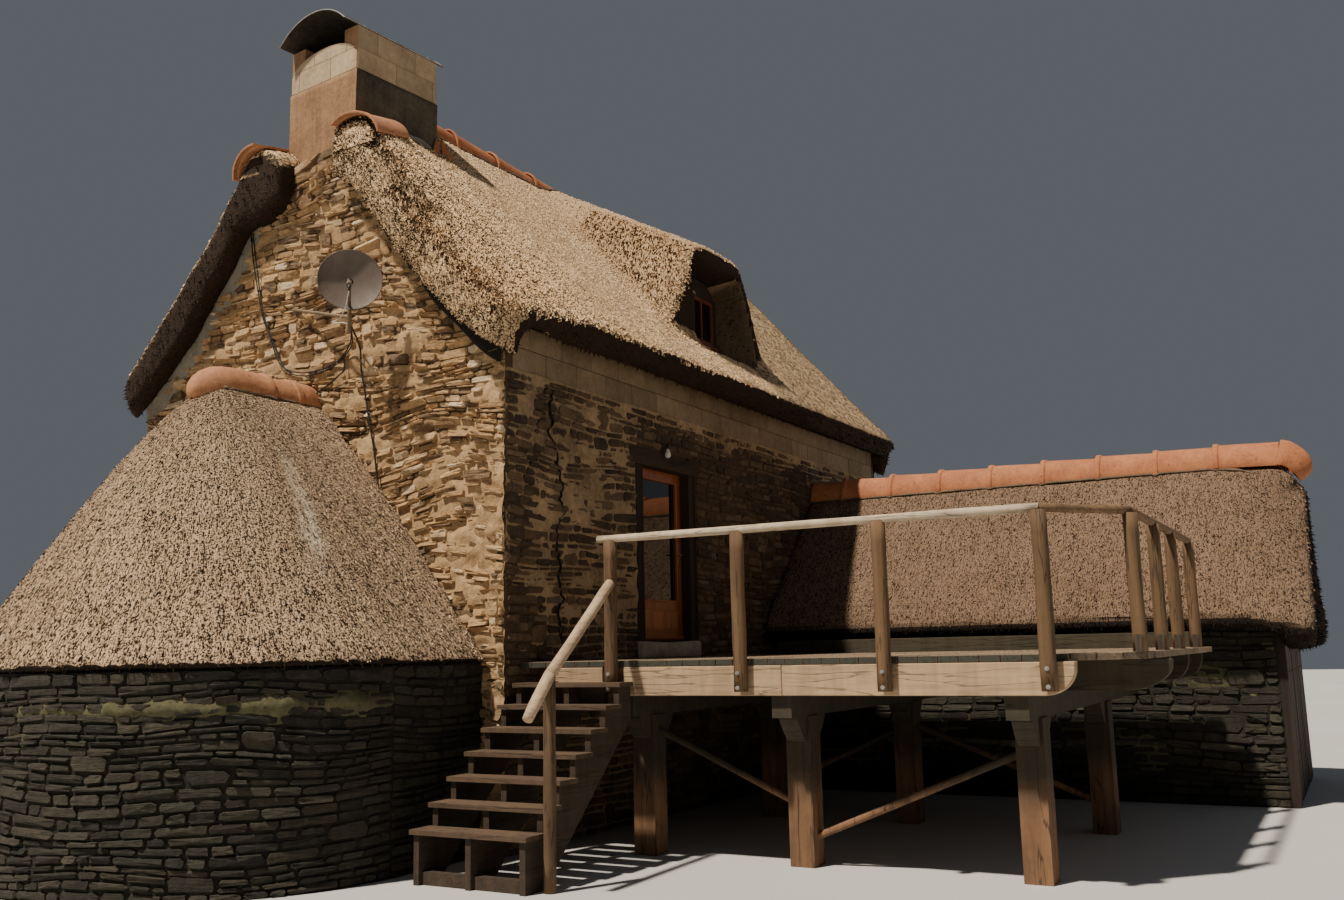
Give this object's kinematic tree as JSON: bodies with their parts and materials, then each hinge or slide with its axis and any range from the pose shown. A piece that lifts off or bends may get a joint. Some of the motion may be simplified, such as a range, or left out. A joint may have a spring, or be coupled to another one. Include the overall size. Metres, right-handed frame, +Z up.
{
  "type": "thatched cottage",
  "caption": "Thatched rubble-stone cottage with hooded dormer, round-ended lean-to, low thatched wing, capped chimney and a railed timber deck on posts with a stair.",
  "frame": {"origin": "foot of the near gable wall, at the middle of its thickness and on the ridge plane, at the lowest ground level", "axes": "+X along the main ridge away from the near gable, +Y from the door side to the plain back, +Z up"},
  "size_m": [12.2544, 11.2427, 8.0823],
  "materials": {
    "stone": "rough rubble with lime mortar",
    "block": "pale rough blocks",
    "step_stone": "worn pale stone",
    "thatch": "weathered reed thatch",
    "terracotta": "matt fired clay",
    "floor_wood": "plain boards",
    "dark_wood": "dark stained",
    "door_wood": "orange-brown varnish",
    "deck_wood": "weathered boards",
    "pole_wood": "bleached round poles",
    "glass": "clear",
    "cap_metal": "dark weathered sheet",
    "dish_metal": "matt grey-brown",
    "bracket_steel": "galvanised"
  },
  "bodies": {
    "cottage": {"gable_wall": "stone", "far_gable_wall": "stone", "front_wall_left": "stone", "front_wall_right": "stone", "front_wall_over_door": "stone", "front_wall_under_door": "stone", "back_wall": "stone", "front_block_course": "block", "back_block_course": "block", "upper_floor": "floor_wood", "attic_floor": "floor_wood", "door_lintel": "dark_wood", "door_step": "step_stone", "door_frame": "dark_wood", "main_thatch": "thatch", "dormer_frame": "dark_wood", "dormer_pane_left": "glass", "dormer_pane_right": "glass", "ridge_tiles": "terracotta", "verge_tile_front": "terracotta", "verge_tile_back": "terracotta", "chimney_stack": "block", "chimney_cap": "cap_metal", "leanto_wall_front": "stone", "leanto_wall_back": "stone", "leanto_arc_1": "stone", "leanto_arc_2": "stone", "leanto_arc_3": "stone", "leanto_arc_4": "stone", "leanto_thatch": "thatch", "leanto_tiles": "terracotta", "wing_wall_west": "stone", "wing_wall_east": "stone", "wing_end_boards": "dark_wood", "wing_thatch": "thatch", "wing_ridge_tiles": "terracotta", "deck_floor": "deck_wood", "deck_joists": "deck_wood", "deck_crossbeam_1": "deck_wood", "deck_crossbeam_2": "deck_wood", "deck_crossbeam_3": "deck_wood", "deck_posts_front": "deck_wood", "deck_posts_back": "deck_wood", "deck_rail": "pole_wood", "stair_tread_1": "deck_wood", "stair_tread_2": "deck_wood", "stair_tread_3": "deck_wood", "stair_tread_4": "deck_wood", "stair_tread_5": "deck_wood", "stair_tread_6": "deck_wood", "stair_tread_7": "deck_wood", "stair_carriages": "deck_wood", "stair_handrail": "pole_wood", "dish": "dish_metal", "dish_bracket": "bracket_steel"},
    "door": {"door_leaf": "door_wood", "door_pane": "glass"}
  },
  "joints": [
    {"name": "door_hinge", "type": "hinge", "parent": "cottage", "child": "door", "pos_m": [2.002, -2.207, 2.633], "axis": [0, 0, 1], "range_deg": [0, 90]}
  ]
}
